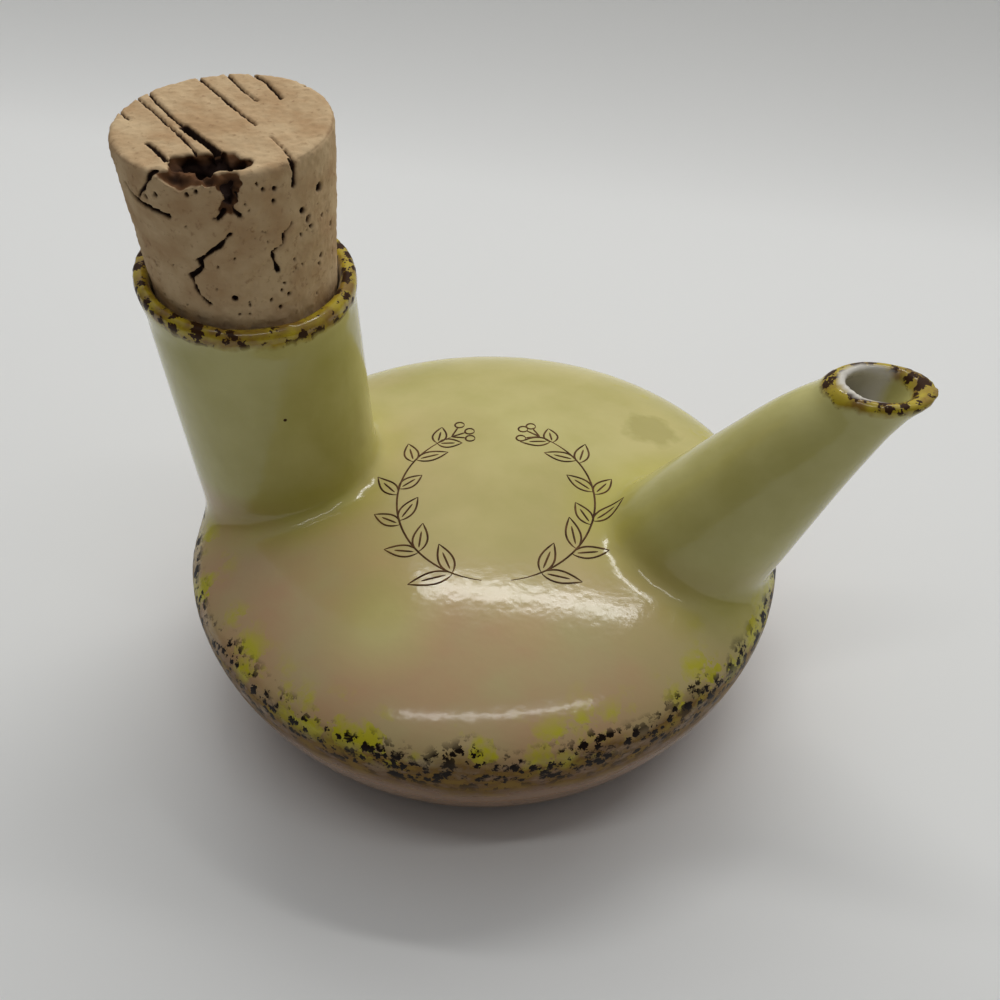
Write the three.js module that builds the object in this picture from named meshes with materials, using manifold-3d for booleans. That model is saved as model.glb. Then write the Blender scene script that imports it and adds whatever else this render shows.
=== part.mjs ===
// Glazed stoneware cruet: a squat hollow body with a corked filling neck and an open pouring spout.
// Millimetres, Z up. The origin is the middle of the flat foot, and the spout points along +X.
import * as THREE from 'three';
import { mergeVertices } from 'three/addons/utils/BufferGeometryUtils.js';
import Module from 'manifold-3d';

const wasm = await Module();
wasm.setup();

// Body: two superellipse quarters that meet at the widest part
const BODY_RADIUS = 52;
const BELLY_HEIGHT = 26;
const DOME_RISE = 13.3;
const DOME_POWER = 2;
const BOWL_DEPTH = 45;
const BOWL_POWER = 1.7;
const BODY_WALL = 4;
const FLOOR_THICKNESS = 5;

// Filling neck, measured along its axis from where that axis leaves the dome
const NECK_OFFSET = 36.3;
const NECK_LEAN = THREE.MathUtils.degToRad(4);
const NECK_LENGTH = 42;
const NECK_FOOT_RADIUS = 16;
const NECK_COLLAR_RADIUS = 17;
const NECK_COLLAR_BELOW_RIM = 7;
const NECK_LIP_RADIUS = 17.7;
const NECK_LIP_ROUND = 1.6;
const NECK_LIP_DEPTH = 4.4;
const NECK_THROAT_RADIUS = 11.5;
const NECK_FILLET = 4.5;

// The hand-made rim isn't level: it tips towards the spout and the front
const RIM_TIP_TO_SPOUT = THREE.MathUtils.degToRad(6.3);
const RIM_TIP_TO_FRONT = THREE.MathUtils.degToRad(1.7);
const RIM_TIP_DEPTH = 14;

// Pouring spout, measured the same way; its tip is cut level
const SPOUT_OFFSET = 37.7;
const SPOUT_LEAN = THREE.MathUtils.degToRad(32.5);
const SPOUT_LENGTH = 44.2;
const SPOUT_FOOT_RADIUS = 13.6;
const SPOUT_WAIST_RADIUS = 6.6;
const SPOUT_WAIST_BELOW_TIP = 5;
const SPOUT_TIP_RADIUS = 7;
const SPOUT_TIP_ROUND = 1;
const SPOUT_BORE_RADIUS = 4.3;
const SPOUT_THROAT_RADIUS = 9.2;
const SPOUT_CUT_START = 26;
const SPOUT_FILLET = 5;

// Tapered cork, pushed upright into the neck and measured from the middle of the rim
const CORK_TOP_RADIUS = 16.85;
const CORK_MOUTH_RADIUS = 14.8;
const CORK_STANDS_OUT = 24.9;
const CORK_PUSHED_IN = 13;
const CORK_EDGE_ROUND = 0.8;
const CORK_CLEARANCE = 0.4;

// Broken hollow in the front edge of the cork's top
const CHIP_TURN = THREE.MathUtils.degToRad(-77);
const CHIP_SIZE = new THREE.Vector3(6, 6.5, 4.4);

// Where the pipes run into the body, as shares of their fillets and as lengths
const FILLET_SUNK_SHARE = 0.6;
const FILLET_RING_SHARE = 0.2;
const FILLET_LEAST_SHARE = 0.01;
const FILLET_GRAZE = 0.88;
const SKIN_SEARCH = 10;
const SKIN_TOLERANCE = 0.01;
const SKIN_FADE = 14;
const AXIS_MARGIN = 1;

// How deep the pipes and their bores start below the dome, and how far the cutters run past a rim
const PIPE_SUNK = 12;
const BORE_SUNK = 6;
const CUT_MARGIN = 2;

// Facets
const BODY_SEGMENTS = 56;
const CAVITY_SEGMENTS = 32;
const NECK_SEGMENTS = 36;
const SPOUT_SEGMENTS = 26;
const CURVE_STEPS = 10;
const ROUND_STEPS = 4;

// Solids

/** A closed geometry as a solid that can be joined and cut. */
function solidOf(geometry) {
  const bare = geometry.clone();
  bare.deleteAttribute('normal');
  bare.deleteAttribute('uv');
  const merged = mergeVertices(bare);
  const index = merged.index.array;
  const corners = [];
  for (let i = 0; i < index.length; i += 3) {
    const [a, b, c] = index.slice(i, i + 3);
    if (a !== b && b !== c && c !== a) corners.push(a, b, c);
  }
  return new wasm.Manifold(new wasm.Mesh({
    numProp: 3,
    vertProperties: new Float32Array(merged.attributes.position.array),
    triVerts: new Uint32Array(corners),
  }));
}

/** A solid as a flat-shaded geometry. */
function geometryOf(solid) {
  const mesh = solid.getMesh();
  const geometry = new THREE.BufferGeometry();
  geometry.setAttribute('position', new THREE.BufferAttribute(mesh.vertProperties, 3));
  geometry.setIndex(new THREE.BufferAttribute(mesh.triVerts, 1));
  geometry.computeVertexNormals();
  return geometry;
}

/** A half outline of [radius, height] points, from the axis at the bottom to the axis at the top, spun about Z. */
function spun(outline, segments) {
  const points = outline.map(([radius, height]) => new THREE.Vector2(radius, height));
  return new THREE.LatheGeometry(points, segments).rotateX(Math.PI / 2);
}

/** Points of a quarter round about a centre, from one angle to another. */
function arc(radius, height, round, from, to) {
  return Array.from({ length: ROUND_STEPS + 1 }, (_, i) => {
    const angle = THREE.MathUtils.lerp(from, to, i / ROUND_STEPS);
    return [radius + round * Math.cos(angle), height + round * Math.sin(angle)];
  });
}

/** Heights from one to another, a fixed step apart. */
function heights(from, to, step) {
  const count = Math.round((to - from) / step);
  return Array.from({ length: count + 1 }, (_, i) => THREE.MathUtils.lerp(from, to, i / count));
}

// Body

/** A point of a superellipse quarter at an angle from its equator. */
function superellipse(radius, depth, power, angle) {
  const bend = 2 / power;
  return [radius * Math.cos(angle) ** bend, depth * Math.sin(angle) ** bend];
}

/** Height of the dome's outside at a distance from the body's axis. */
function domeHeight(radius) {
  return BELLY_HEIGHT + DOME_RISE * (1 - (radius / BODY_RADIUS) ** DOME_POWER) ** (1 / DOME_POWER);
}

/** Half outline of the body, moved inwards by a wall and standing on a level floor. */
function bodyOutline(wall, floor) {
  const radius = BODY_RADIUS - wall;
  const bowl = BOWL_DEPTH - wall;
  const drop = BELLY_HEIGHT - floor;
  const footAngle = Math.asin((drop / bowl) ** (BOWL_POWER / 2));
  const outline = [[0, floor]];
  for (let i = 0; i <= CURVE_STEPS; i++) {
    const [r, depth] = superellipse(radius, bowl, BOWL_POWER, footAngle * (1 - i / CURVE_STEPS));
    outline.push([r, BELLY_HEIGHT - depth]);
  }
  for (let i = 1; i < CURVE_STEPS; i++) {
    const angle = (Math.PI / 2) * (i / CURVE_STEPS);
    const [r, rise] = superellipse(radius, DOME_RISE - wall, DOME_POWER, angle);
    outline.push([r, BELLY_HEIGHT + rise]);
  }
  outline.push([0, BELLY_HEIGHT + DOME_RISE - wall]);
  return outline;
}

/** Distance of a point outside the body's skin, and the skin's outward direction there. */
function bodySkin(point) {
  const rise = point.z - BELLY_HEIGHT;
  const [depth, power] = rise > 0 ? [DOME_RISE, DOME_POWER] : [BOWL_DEPTH, BOWL_POWER];
  const across = Math.hypot(point.x, point.y);
  const r = across / BODY_RADIUS;
  const z = Math.abs(rise) / depth;
  const level = (r ** power + z ** power) ** (1 / power);
  const slopeAcross = (r / level) ** (power - 1) / BODY_RADIUS;
  const slopeUp = Math.sign(rise) * (z / level) ** (power - 1) / depth;
  const normal = new THREE.Vector3(slopeAcross * point.x / across, slopeAcross * point.y / across, slopeUp);
  const distance = (level - 1) / normal.length();
  return { distance, normal: normal.normalize() };
}

// Neck and spout

/** Place of a pipe whose axis leaves the dome at an offset along X and leans in the XZ plane. */
function pipeFrame(offset, lean) {
  const place = new THREE.Matrix4().makeTranslation(offset, 0, domeHeight(Math.abs(offset)));
  return place.multiply(new THREE.Matrix4().makeRotationY(lean));
}

/** How far a point has to move along a pipe's axis to lie on the body's skin. */
function moveToSkin(point, axis) {
  const probe = new THREE.Vector3();
  let low = -SKIN_SEARCH;
  let high = SKIN_SEARCH;
  while (high - low > SKIN_TOLERANCE) {
    const middle = (low + high) / 2;
    probe.copy(point).addScaledVector(axis, middle);
    if (bodySkin(probe).distance > 0) high = middle;
    else low = middle;
  }
  return low;
}

/** Outward draw of a fillet at a distance from the skin, run on straight where it would only graze it. */
function filletDraw(reach, distance) {
  const depth = 1 - distance / reach;
  const round = THREE.MathUtils.clamp(depth, 0, FILLET_GRAZE);
  const slope = round / Math.sqrt(1 - round * round);
  const straight = THREE.MathUtils.clamp(depth - round, 0, FILLET_SUNK_SHARE);
  return reach * (1 - Math.sqrt(1 - round * round) + slope * straight);
}

/** Moves a pipe's lower rings to the body's skin and draws them out along it, so that they end in a fillet. */
function filletInto(geometry, frame, fillet) {
  const base = new THREE.Vector3().setFromMatrixPosition(frame);
  const axis = new THREE.Vector3(0, 0, 1).transformDirection(frame);
  const position = geometry.attributes.position;
  const point = new THREE.Vector3();
  const out = new THREE.Vector3();
  for (let i = 0; i < position.count; i++) {
    point.fromBufferAttribute(position, i);
    const height = out.subVectors(point, base).dot(axis);
    out.addScaledVector(axis, -height);
    if (out.length() < AXIS_MARGIN) continue;
    const drop = moveToSkin(base.clone().add(out), axis);
    const share = 1 - THREE.MathUtils.smoothstep(height, fillet, fillet + SKIN_FADE);
    point.addScaledVector(axis, drop * share);
    out.normalize();
    const skin = bodySkin(point);
    const facing = out.dot(skin.normal);
    const reach = fillet * THREE.MathUtils.clamp(1 - facing, FILLET_LEAST_SHARE, 1);
    out.addScaledVector(skin.normal, -facing);
    point.addScaledVector(out, filletDraw(reach, skin.distance));
    position.setXYZ(i, point.x, point.y, point.z);
  }
  return geometry;
}

/** Heights of the rings that a pipe needs near the body, from sunk to the top of its fillet. */
function filletRings(fillet) {
  return heights(-FILLET_SUNK_SHARE * fillet, fillet, FILLET_RING_SHARE * fillet);
}

/** Slants the top of an upright pipe, so that it rises towards +X and +Y by the given angles. */
function slantTop(geometry, start, end, riseX, riseY = 0) {
  const position = geometry.attributes.position;
  for (let i = 0; i < position.count; i++) {
    const height = position.getZ(i);
    const share = THREE.MathUtils.smoothstep(height, start, end);
    const rise = position.getX(i) * Math.tan(riseX) + position.getY(i) * Math.tan(riseY);
    position.setZ(i, height + share * rise);
  }
  return geometry;
}

const neckFrame = pipeFrame(-NECK_OFFSET, -NECK_LEAN);
const spoutFrame = pipeFrame(SPOUT_OFFSET, SPOUT_LEAN);
const rimMiddle = new THREE.Vector3(0, 0, NECK_LENGTH).applyMatrix4(neckFrame);

/** Outside of the neck: a cone, a shallow collar and a rounded lip. */
function neckSolid() {
  const collar = NECK_LENGTH - NECK_COLLAR_BELOW_RIM;
  const taper = (NECK_COLLAR_RADIUS - NECK_FOOT_RADIUS) / collar;
  const sides = heights(NECK_FILLET, collar, NECK_COLLAR_BELOW_RIM).slice(1);
  const outline = [
    [0, -PIPE_SUNK],
    ...[...filletRings(NECK_FILLET), ...sides].map((s) => [NECK_FOOT_RADIUS + taper * s, s]),
    [(NECK_COLLAR_RADIUS + NECK_LIP_RADIUS) / 2, NECK_LENGTH - NECK_LIP_DEPTH],
    ...arc(NECK_LIP_RADIUS - NECK_LIP_ROUND, NECK_LENGTH - NECK_LIP_ROUND, NECK_LIP_ROUND, 0, Math.PI / 2),
    [0, NECK_LENGTH],
  ];
  const upright = spun(outline, NECK_SEGMENTS);
  const tipX = -RIM_TIP_TO_SPOUT - NECK_LEAN;
  slantTop(upright, NECK_LENGTH - RIM_TIP_DEPTH, NECK_LENGTH, tipX, RIM_TIP_TO_FRONT);
  return solidOf(filletInto(upright.applyMatrix4(neckFrame), neckFrame, NECK_FILLET));
}

/** Radius of the cork at a height above the middle of the rim. */
function corkRadius(height) {
  const taper = (CORK_TOP_RADIUS - CORK_MOUTH_RADIUS) / CORK_STANDS_OUT;
  return CORK_MOUTH_RADIUS + taper * height;
}

/** Upright seat inside the neck that fits the cork with a little clearance and opens in the tipped rim. */
function corkSeat() {
  const foot = -CORK_PUSHED_IN - CUT_MARGIN;
  const footRadius = corkRadius(foot) + CORK_CLEARANCE;
  const mouth = -NECK_LIP_ROUND;
  const mouthRadius = corkRadius(mouth) + CORK_CLEARANCE;
  const outline = [
    [0, foot],
    [footRadius, foot],
    ...arc(mouthRadius + NECK_LIP_ROUND, mouth, NECK_LIP_ROUND, Math.PI, Math.PI / 2),
    [mouthRadius + NECK_LIP_ROUND, CUT_MARGIN],
    [0, CUT_MARGIN],
  ];
  const upright = slantTop(spun(outline, NECK_SEGMENTS), foot, 0, -RIM_TIP_TO_SPOUT, RIM_TIP_TO_FRONT);
  return solidOf(upright.translate(...rimMiddle));
}

/** Space inside the neck: a throat that widens from the body to the cork's seat. */
function neckBore() {
  const seat = NECK_LENGTH - CORK_PUSHED_IN;
  const outline = [
    [0, -BORE_SUNK],
    [NECK_THROAT_RADIUS, -BORE_SUNK],
    [NECK_THROAT_RADIUS, 0],
    [corkRadius(-CORK_PUSHED_IN), seat],
    [0, seat],
  ];
  return solidOf(spun(outline, NECK_SEGMENTS).applyMatrix4(neckFrame)).add(corkSeat());
}

/** Outside of the spout: a cone with a slight waist below its flared, level tip. */
function spoutSolid() {
  const waist = SPOUT_LENGTH - SPOUT_WAIST_BELOW_TIP;
  const taper = (SPOUT_WAIST_RADIUS - SPOUT_FOOT_RADIUS) / waist;
  const sides = heights(SPOUT_FILLET, waist, SPOUT_WAIST_BELOW_TIP).slice(1);
  const tip = SPOUT_LENGTH - SPOUT_TIP_ROUND;
  const outline = [
    [0, -PIPE_SUNK],
    ...[...filletRings(SPOUT_FILLET), ...sides].map((s) => [SPOUT_FOOT_RADIUS + taper * s, s]),
    ...arc(SPOUT_TIP_RADIUS - SPOUT_TIP_ROUND, tip, SPOUT_TIP_ROUND, 0, Math.PI / 2),
    [0, SPOUT_LENGTH],
  ];
  const upright = slantTop(spun(outline, SPOUT_SEGMENTS), SPOUT_CUT_START, SPOUT_LENGTH, SPOUT_LEAN);
  return solidOf(filletInto(upright.applyMatrix4(spoutFrame), spoutFrame, SPOUT_FILLET));
}

/** Space inside the spout, from its throat in the body to its tip. */
function spoutBore() {
  const outline = [
    [0, -BORE_SUNK],
    [SPOUT_THROAT_RADIUS, -BORE_SUNK],
    [SPOUT_THROAT_RADIUS, 0],
    ...heights(SPOUT_CUT_START, SPOUT_LENGTH - SPOUT_TIP_ROUND, SPOUT_WAIST_BELOW_TIP).map((s) => [
      THREE.MathUtils.mapLinear(s, 0, SPOUT_LENGTH, SPOUT_THROAT_RADIUS, SPOUT_BORE_RADIUS), s,
    ]),
    [SPOUT_BORE_RADIUS + SPOUT_TIP_ROUND / 2, SPOUT_LENGTH],
    [SPOUT_BORE_RADIUS + SPOUT_TIP_ROUND, SPOUT_LENGTH + CUT_MARGIN],
    [0, SPOUT_LENGTH + CUT_MARGIN],
  ];
  const upright = slantTop(spun(outline, SPOUT_SEGMENTS), SPOUT_CUT_START, SPOUT_LENGTH, SPOUT_LEAN);
  return solidOf(upright.applyMatrix4(spoutFrame));
}

// Pieces

/** The fired clay vessel: body, neck and spout in one piece, hollow inside. */
function makeVessel() {
  const outside = solidOf(spun(bodyOutline(0, 0), BODY_SEGMENTS)).add(neckSolid()).add(spoutSolid());
  const cavity = solidOf(spun(bodyOutline(BODY_WALL, FLOOR_THICKNESS), CAVITY_SEGMENTS));
  const inside = cavity.add(neckBore()).add(spoutBore());
  const glaze = new THREE.MeshStandardMaterial({ color: 0xc3c08d, roughness: 0.2, metalness: 0 });
  const vessel = new THREE.Mesh(geometryOf(outside.subtract(inside)), glaze);
  vessel.name = 'vessel';
  return vessel;
}

/** The tapered cork, with a piece broken out of its top edge. */
function makeCork() {
  const top = CORK_STANDS_OUT;
  const edge = top - CORK_EDGE_ROUND;
  const outline = [
    [0, -CORK_PUSHED_IN],
    [corkRadius(-CORK_PUSHED_IN), -CORK_PUSHED_IN],
    [CORK_MOUTH_RADIUS, 0],
    ...arc(corkRadius(edge) - CORK_EDGE_ROUND, edge, CORK_EDGE_ROUND, 0, Math.PI / 2),
    [0, top],
  ];
  const chip = new THREE.IcosahedronGeometry(1, 1).scale(CHIP_SIZE.x, CHIP_SIZE.y, CHIP_SIZE.z);
  chip.rotateZ(CHIP_TURN + Math.PI / 2);
  chip.translate(CORK_TOP_RADIUS * Math.cos(CHIP_TURN), CORK_TOP_RADIUS * Math.sin(CHIP_TURN), top);
  const solid = solidOf(spun(outline, NECK_SEGMENTS)).subtract(solidOf(chip));
  const bark = new THREE.MeshStandardMaterial({ color: 0xb79a72, roughness: 0.9, metalness: 0 });
  const cork = new THREE.Mesh(geometryOf(solid), bark);
  cork.name = 'cork';
  cork.position.copy(rimMiddle);
  return cork;
}

const cruet = new THREE.Group();
cruet.add(makeVessel(), makeCork());

export default cruet;
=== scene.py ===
"""Looks of a glazed stoneware sauce cruet with a cork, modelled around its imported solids.

The scene is in metres and shares the solids' frame: the origin is the middle of the foot, +Z is up and
the spout points along +X. Sizes in the classes are millimetres, and mm() turns them into metres.
"""
import logging
import math
import random
from dataclasses import dataclass, field
from enum import Enum
from functools import partial
from typing import Any

import bpy
import numpy as np
from bpy.types import Material, Node, NodeSocket, NodeTree, Object
from mathutils import Matrix, Quaternion, Vector

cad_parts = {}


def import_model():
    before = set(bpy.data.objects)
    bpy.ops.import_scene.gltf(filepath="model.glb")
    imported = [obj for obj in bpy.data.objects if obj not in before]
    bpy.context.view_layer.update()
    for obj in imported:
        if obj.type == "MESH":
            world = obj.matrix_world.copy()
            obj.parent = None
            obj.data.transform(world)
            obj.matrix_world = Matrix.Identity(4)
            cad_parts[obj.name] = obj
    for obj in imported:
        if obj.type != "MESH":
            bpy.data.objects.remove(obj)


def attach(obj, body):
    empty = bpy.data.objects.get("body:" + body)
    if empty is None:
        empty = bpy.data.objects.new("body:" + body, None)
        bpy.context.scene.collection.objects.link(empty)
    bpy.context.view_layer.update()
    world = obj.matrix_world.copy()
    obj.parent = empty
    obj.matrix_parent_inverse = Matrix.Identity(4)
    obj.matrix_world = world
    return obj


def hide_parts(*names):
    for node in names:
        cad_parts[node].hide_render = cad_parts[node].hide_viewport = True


log = logging.getLogger("cruet")
ROOT_BODY = "root"
MM_PER_M = 1000.0


class Slot(Enum):
    """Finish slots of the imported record."""

    GLAZE = "glaze"
    CORK = "cork"


class Cut(Enum):
    """What a second form does to a first one."""

    JOIN = "UNION"
    HOLLOW = "DIFFERENCE"


# Small helpers


def mm(value: float) -> float:
    """Millimetres as metres."""
    return value / MM_PER_M


def linear(colour: str) -> tuple[float, float, float, float]:
    """Turn an sRGB hex colour into linear light.

    Args:
        colour: Six hex digits after a hash sign.

    Returns:
        Red, green, blue and an alpha of 1.
    """
    parts = [int(colour[i:i + 2], 16) / 255 for i in (1, 3, 5)]
    light = [p / 12.92 if p <= 0.04045 else ((p + 0.055) / 1.055) ** 2.4 for p in parts]
    return (*light, 1.0)


def add_node(tree: NodeTree, kind: str, links: dict[str | int, Any] | None = None, **settings: Any) -> Node:
    """Add a shader node with its settings and links.

    Args:
        tree: Node tree that gets the node.
        kind: Node type without its common prefix.
        links: Inputs by name or number, each a socket to link or a value to set.
        settings: Properties of the node itself.

    Returns:
        The new node.
    """
    node = tree.nodes.new("ShaderNode" + kind)
    for name, value in settings.items():
        setattr(node, name, value)
    for name, value in (links or {}).items():
        if isinstance(value, NodeSocket):
            tree.links.new(value, node.inputs[name])
        else:
            node.inputs[name].default_value = value
    return node


def new_material(name: str) -> tuple[Material, NodeTree, Node]:
    """Make an empty material.

    Args:
        name: Name of the real material and how its surface was made.

    Returns:
        The material, its node tree and its shader, which is linked to the output.
    """
    material = bpy.data.materials.new(name)
    material.use_nodes = True
    tree = material.node_tree
    tree.nodes.clear()
    shader = add_node(tree, "BsdfPrincipled")
    add_node(tree, "OutputMaterial", {"Surface": shader.outputs[0]})
    return material, tree, shader


def point_in_mm(tree: NodeTree) -> NodeSocket:
    """Place on the piece in millimetres, for patterns to be laid out by."""
    spot = add_node(tree, "TexCoord").outputs["Object"]
    return add_node(tree, "VectorMath", {0: spot, "Scale": MM_PER_M}, operation="SCALE").outputs[0]


def choose(*pieces: Object) -> None:
    """Select only these pieces, with the first one active."""
    bpy.ops.object.select_all(action="DESELECT")
    for piece in pieces:
        piece.select_set(True)
    bpy.context.view_layer.objects.active = pieces[0]


def modify(piece: Object, kind: str, **settings: Any) -> None:
    """Add a modifier with its settings and apply it."""
    choose(piece)
    modifier = piece.modifiers.new(kind, kind)
    for name, value in settings.items():
        setattr(modifier, name, value)
    bpy.ops.object.modifier_apply(modifier=modifier.name)


def combine(piece: Object, other: Object, cut: Cut) -> None:
    """Join a second form to a piece or cut it out of the piece, and remove the second form."""
    modify(piece, "BOOLEAN", operation=cut.value, object=other, solver="EXACT")
    bpy.data.objects.remove(other)


def roughen(piece: Object, size: float, strength: float, detail: int = 2) -> None:
    """Move a surface in and out along its normals by soft noise.

    Args:
        piece: Piece to move.
        size: Width of the bumps in millimetres.
        strength: Height from the lowest to the highest bump in millimetres.
        detail: How many finer layers the noise has.
    """
    texture = bpy.data.textures.new("clouds", "CLOUDS")
    texture.noise_scale = mm(size)
    texture.noise_depth = detail
    modify(piece, "DISPLACE", texture=texture, texture_coords="LOCAL", strength=mm(strength), mid_level=0.5)


def points_of(piece: Object) -> np.ndarray:
    """Vertices of a piece in millimetres, one row each."""
    flat = np.empty(len(piece.data.vertices) * 3, np.float32)
    piece.data.vertices.foreach_get("co", flat)
    return flat.reshape(-1, 3).astype(float) * MM_PER_M


def move_points(piece: Object, points: np.ndarray) -> None:
    """Put a piece's vertices at these places, in millimetres."""
    piece.data.vertices.foreach_set("co", (points / MM_PER_M).astype(np.float32).ravel())
    piece.data.update()


def mark(piece: Object, name: str, values: np.ndarray) -> None:
    """Store one value for each vertex, for a material to read."""
    attribute = piece.data.attributes.new(name, "FLOAT", "POINT")
    attribute.data.foreach_set("value", values.astype(np.float32))


def eased(values: np.ndarray, start: float, end: float) -> np.ndarray:
    """Ease many values from 0 at start to 1 at end."""
    share = np.clip((values - start) / (end - start), 0, 1)
    return share * share * (3 - 2 * share)


# Thrown forms


@dataclass(frozen=True)
class Ring:
    """One ring of a form thrown on a wheel, in millimetres."""

    radius: float
    height: float


def throw(name: str, rings: list[Ring], segments: int) -> Object:
    """Pull a round form up from a disc, ring by ring, and leave it closed at both ends.

    Args:
        name: Name of the new piece.
        rings: Rings from the lowest to the highest.
        segments: Corners of each ring.

    Returns:
        The new piece, at the origin.
    """
    bpy.ops.object.select_all(action="DESELECT")
    foot = rings[0]
    bpy.ops.mesh.primitive_circle_add(vertices=segments, radius=mm(foot.radius), fill_type="TRIFAN")
    piece = bpy.context.object
    piece.name = name
    bpy.ops.object.mode_set(mode="EDIT")
    bpy.ops.mesh.select_all(action="SELECT")
    bpy.ops.transform.translate(value=(0, 0, mm(foot.height)))
    for lower, upper in zip(rings, rings[1:]):
        step = (0, 0, mm(upper.height - lower.height))
        bpy.ops.mesh.extrude_region_move(TRANSFORM_OT_translate={"value": step})
        share = upper.radius / lower.radius
        bpy.ops.transform.resize(value=(share, share, 1))
    bpy.ops.mesh.select_all(action="SELECT")
    bpy.ops.mesh.normals_make_consistent(inside=False)
    bpy.ops.object.mode_set(mode="OBJECT")
    return piece


def quarter(radius: float, height: float, round_size: float, start: float, end: float,
            steps: int) -> list[Ring]:
    """Rings along an arc about a centre, from one angle in degrees to another."""
    angles = [math.radians(start + (end - start) * i / steps) for i in range(steps + 1)]
    return [Ring(radius + round_size * math.cos(a), height + round_size * math.sin(a)) for a in angles]


def slant_top(piece: Object, start: float, end: float, rise_x: float, rise_y: float = 0.0) -> None:
    """Slant the top of an upright form, which no operator without a window does.

    Args:
        piece: Upright form.
        start: Height below which it stays as it is.
        end: Height from which on it is slanted in full.
        rise_x: Angle in degrees by which the top rises towards +X.
        rise_y: Angle in degrees by which the top rises towards +Y.
    """
    points = points_of(piece)
    slopes = np.array([math.tan(math.radians(rise_x)), math.tan(math.radians(rise_y))])
    points[:, 2] += eased(points[:, 2], start, end) * (points[:, :2] @ slopes)
    move_points(piece, points)


def place(piece: Object, frame: Matrix) -> Object:
    """Move a form to its place and apply that, so that the piece itself stays at the origin."""
    piece.matrix_world = frame
    choose(piece)
    bpy.ops.object.transform_apply(location=True, rotation=True, scale=True)
    return piece


@dataclass(frozen=True)
class BodyForm:
    """The squat body: a low dome over a rounder bowl, both superellipses, on a flat foot."""

    radius: float = 52.0
    belly_height: float = 26.0
    dome_rise: float = 13.3
    dome_power: float = 2.0
    bowl_depth: float = 45.0
    bowl_power: float = 1.7
    wall: float = 4.0
    floor: float = 5.0
    tip_radius: float = 0.4
    steps: int = 40
    segments: int = 180

    def rings(self, wall: float = 0.0, floor: float = 0.0) -> list[Ring]:
        """Rings of the body, moved inwards by a wall and standing on a level floor.

        Args:
            wall: Distance from the outside.
            floor: Height of the lowest ring.

        Returns:
            Rings from the foot to the top of the dome.
        """
        radius = self.radius - wall
        bowl = self.bowl_depth - wall
        dome = self.dome_rise - wall
        drop = (self.belly_height - floor) / bowl
        start = math.asin(drop ** (self.bowl_power / 2))
        end = math.acos((self.tip_radius / radius) ** (self.dome_power / 2))
        rings = []
        for i in range(self.steps):
            angle = start * (1 - i / self.steps)
            across = radius * math.cos(angle) ** (2 / self.bowl_power)
            rings.append(Ring(across, self.belly_height - bowl * math.sin(angle) ** (2 / self.bowl_power)))
        for i in range(self.steps + 1):
            angle = end * i / self.steps
            across = radius * math.cos(angle) ** (2 / self.dome_power)
            rings.append(Ring(across, self.belly_height + dome * math.sin(angle) ** (2 / self.dome_power)))
        return rings

    def dome_height(self, across: float) -> float:
        """Height of the dome's outside at a distance from the axis."""
        share = max(0.0, 1 - (across / self.radius) ** self.dome_power)
        return self.belly_height + self.dome_rise * share ** (1 / self.dome_power)

    def skin_distance(self, points: np.ndarray) -> np.ndarray:
        """Distance of points from the body's outside, below 0 within it.

        Args:
            points: Places in millimetres, one row each.

        Returns:
            One distance for each point.
        """
        across = np.maximum(np.hypot(points[:, 0], points[:, 1]), 1e-6) / self.radius
        rise = points[:, 2] - self.belly_height
        depth = np.where(rise > 0, self.dome_rise, self.bowl_depth)
        power = np.where(rise > 0, self.dome_power, self.bowl_power)
        up = np.abs(rise) / depth
        level = np.maximum((across ** power + up ** power) ** (1 / power), 1e-6)
        slope = np.hypot((across / level) ** (power - 1) / self.radius, (up / level) ** (power - 1) / depth)
        return (level - 1) / slope


@dataclass(frozen=True)
class PipeForm:
    """What neck and spout share: a tapered pipe that leaves the dome and leans along X."""

    offset: float
    lean: float
    length: float
    foot_radius: float
    end_radius: float
    sunk: float = 12.0
    segments: int = 128

    def frame(self, body: BodyForm) -> Matrix:
        """Place of the pipe's foot and its lean, in metres."""
        foot = Vector((self.offset, 0, body.dome_height(abs(self.offset))))
        return Matrix.Translation(foot / MM_PER_M) @ Matrix.Rotation(math.radians(self.lean), 4, "Y")

    def radius_at(self, height: np.ndarray | float) -> np.ndarray | float:
        """Outside radius of the plain cone at a height along the axis."""
        return self.foot_radius + (self.end_radius - self.foot_radius) * height / self.length

    def local(self, points: np.ndarray, body: BodyForm) -> tuple[np.ndarray, np.ndarray]:
        """Distance from the pipe's axis and height along it, for points in millimetres."""
        back = np.array(self.frame(body).inverted())
        moved = points / MM_PER_M @ back[:3, :3].T + back[:3, 3]
        return np.hypot(moved[:, 0], moved[:, 1]) * MM_PER_M, moved[:, 2] * MM_PER_M

    def joint_distance(self, points: np.ndarray, body: BodyForm) -> np.ndarray:
        """Distance of points on the skin from the line where the pipe meets the body."""
        across, height = self.local(points, body)
        return np.hypot(across - self.radius_at(height), body.skin_distance(points))


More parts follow.
